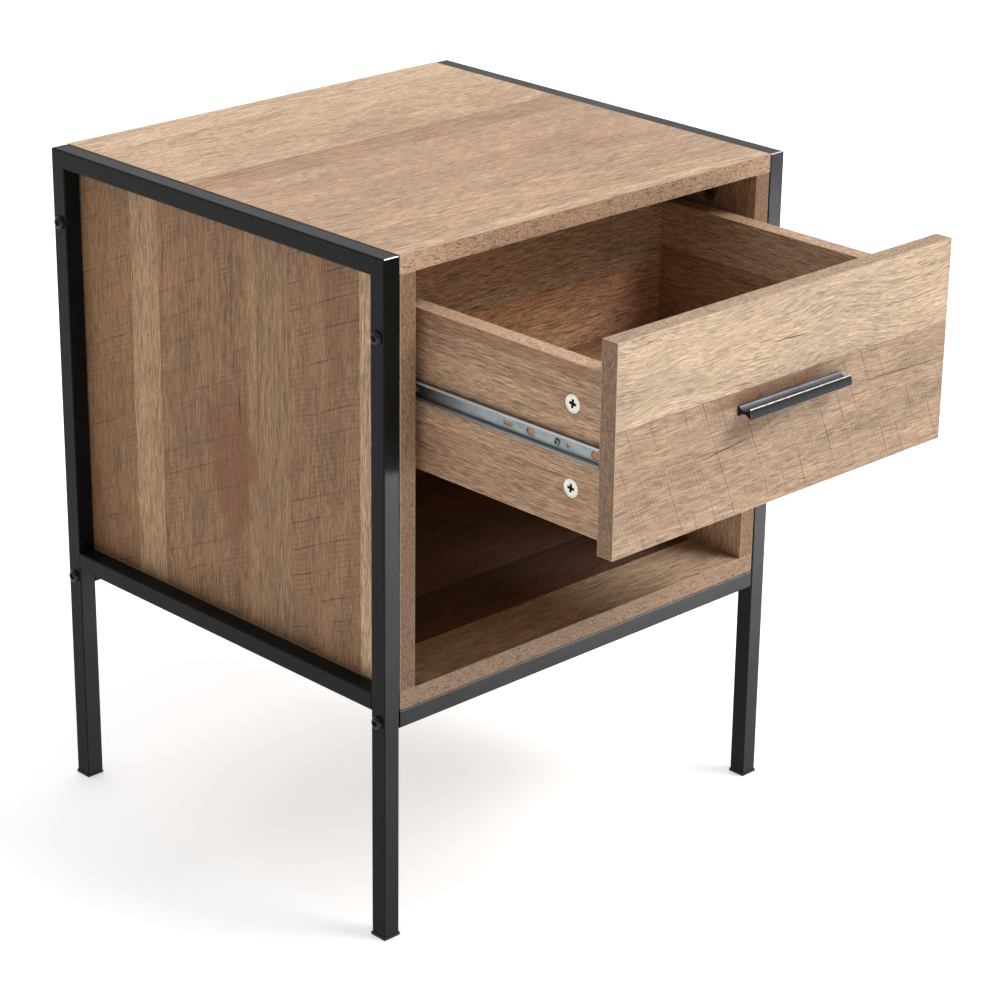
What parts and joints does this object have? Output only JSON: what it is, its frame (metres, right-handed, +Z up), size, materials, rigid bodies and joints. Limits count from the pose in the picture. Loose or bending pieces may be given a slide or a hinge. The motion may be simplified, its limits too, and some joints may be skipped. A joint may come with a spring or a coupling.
{
  "type": "side table with drawer",
  "caption": "Side table with a drawer on ball-bearing slides above an open shelf, in an oak-look board case held between square steel tube frames.",
  "frame": {"origin": "on the floor, in the middle of the footprint of the table with its drawer fully open", "axes": "+X to the right as seen from the front, -Y out of the front, the way the drawer opens, and +Z up"},
  "size_m": [0.4334, 0.6028, 0.5505],
  "materials": {
    "oak_laminate": "matt printed oak-look laminate on particle board",
    "thin_board": "matt printed thin hardboard",
    "frame_steel": "satin black powder coat",
    "bolt_steel": "black oxide",
    "foot_plastic": "moulded black plastic",
    "zinc_steel": "bright zinc plate",
    "cam_zinc": "satin nickel on die-cast zinc",
    "handle_metal": "satin black anodised"
  },
  "bodies": {
    "cabinet": {"back_panel": "thin_board", "bottom_panel": "oak_laminate", "front_cross_rail": "frame_steel", "left_front_foot": "foot_plastic", "left_front_leg": "frame_steel", "left_front_lower_bolt": "bolt_steel", "left_front_lower_cam": "cam_zinc", "left_front_upper_bolt": "bolt_steel", "left_front_upper_cam": "cam_zinc", "left_lower_rail": "frame_steel", "left_rear_foot": "foot_plastic", "left_rear_leg": "frame_steel", "left_rear_lower_bolt": "bolt_steel", "left_rear_lower_cam": "cam_zinc", "left_rear_upper_bolt": "bolt_steel", "left_rear_upper_cam": "cam_zinc", "left_side_panel": "oak_laminate", "left_slide_outer": "zinc_steel", "left_top_rail": "frame_steel", "rear_cross_rail": "frame_steel", "right_front_foot": "foot_plastic", "right_front_leg": "frame_steel", "right_front_lower_bolt": "bolt_steel", "right_front_lower_cam": "cam_zinc", "right_front_upper_bolt": "bolt_steel", "right_front_upper_cam": "cam_zinc", "right_lower_rail": "frame_steel", "right_rear_foot": "foot_plastic", "right_rear_leg": "frame_steel", "right_rear_lower_bolt": "bolt_steel", "right_rear_lower_cam": "cam_zinc", "right_rear_upper_bolt": "bolt_steel", "right_rear_upper_cam": "cam_zinc", "right_side_panel": "oak_laminate", "right_slide_outer": "zinc_steel", "right_top_rail": "frame_steel", "top_panel": "oak_laminate"},
    "drawer": {"drawer_back": "oak_laminate", "drawer_floor": "thin_board", "drawer_front": "oak_laminate", "drawer_handle": "handle_metal", "drawer_left_lower_cam": "cam_zinc", "drawer_left_lower_cam_bolt": "zinc_steel", "drawer_left_side": "oak_laminate", "drawer_left_upper_cam": "cam_zinc", "drawer_left_upper_cam_bolt": "zinc_steel", "drawer_right_lower_cam": "cam_zinc", "drawer_right_lower_cam_bolt": "zinc_steel", "drawer_right_side": "oak_laminate", "drawer_right_upper_cam": "cam_zinc", "drawer_right_upper_cam_bolt": "zinc_steel", "left_handle_screw": "zinc_steel", "left_slide_inner": "zinc_steel", "right_handle_screw": "zinc_steel", "right_slide_inner": "zinc_steel"},
    "left_cage": {"left_ball_cage": "zinc_steel"},
    "right_cage": {"right_ball_cage": "zinc_steel"}
  },
  "joints": [
    {"name": "drawer_slide", "type": "slide", "parent": "cabinet", "child": "drawer", "axis": [0, -1, 0], "range_m": [-0.198, 0]},
    {"name": "left_cage_slide", "type": "slide", "parent": "cabinet", "child": "left_cage", "axis": [0, -1, 0], "range_m": [-0.099, 0]},
    {"name": "right_cage_slide", "type": "slide", "parent": "cabinet", "child": "right_cage", "axis": [0, -1, 0], "range_m": [-0.099, 0]}
  ],
  "couplings": [
    {"joint": "left_cage_slide", "follows": "drawer_slide", "ratio": 0.5},
    {"joint": "right_cage_slide", "follows": "drawer_slide", "ratio": 0.5}
  ]
}
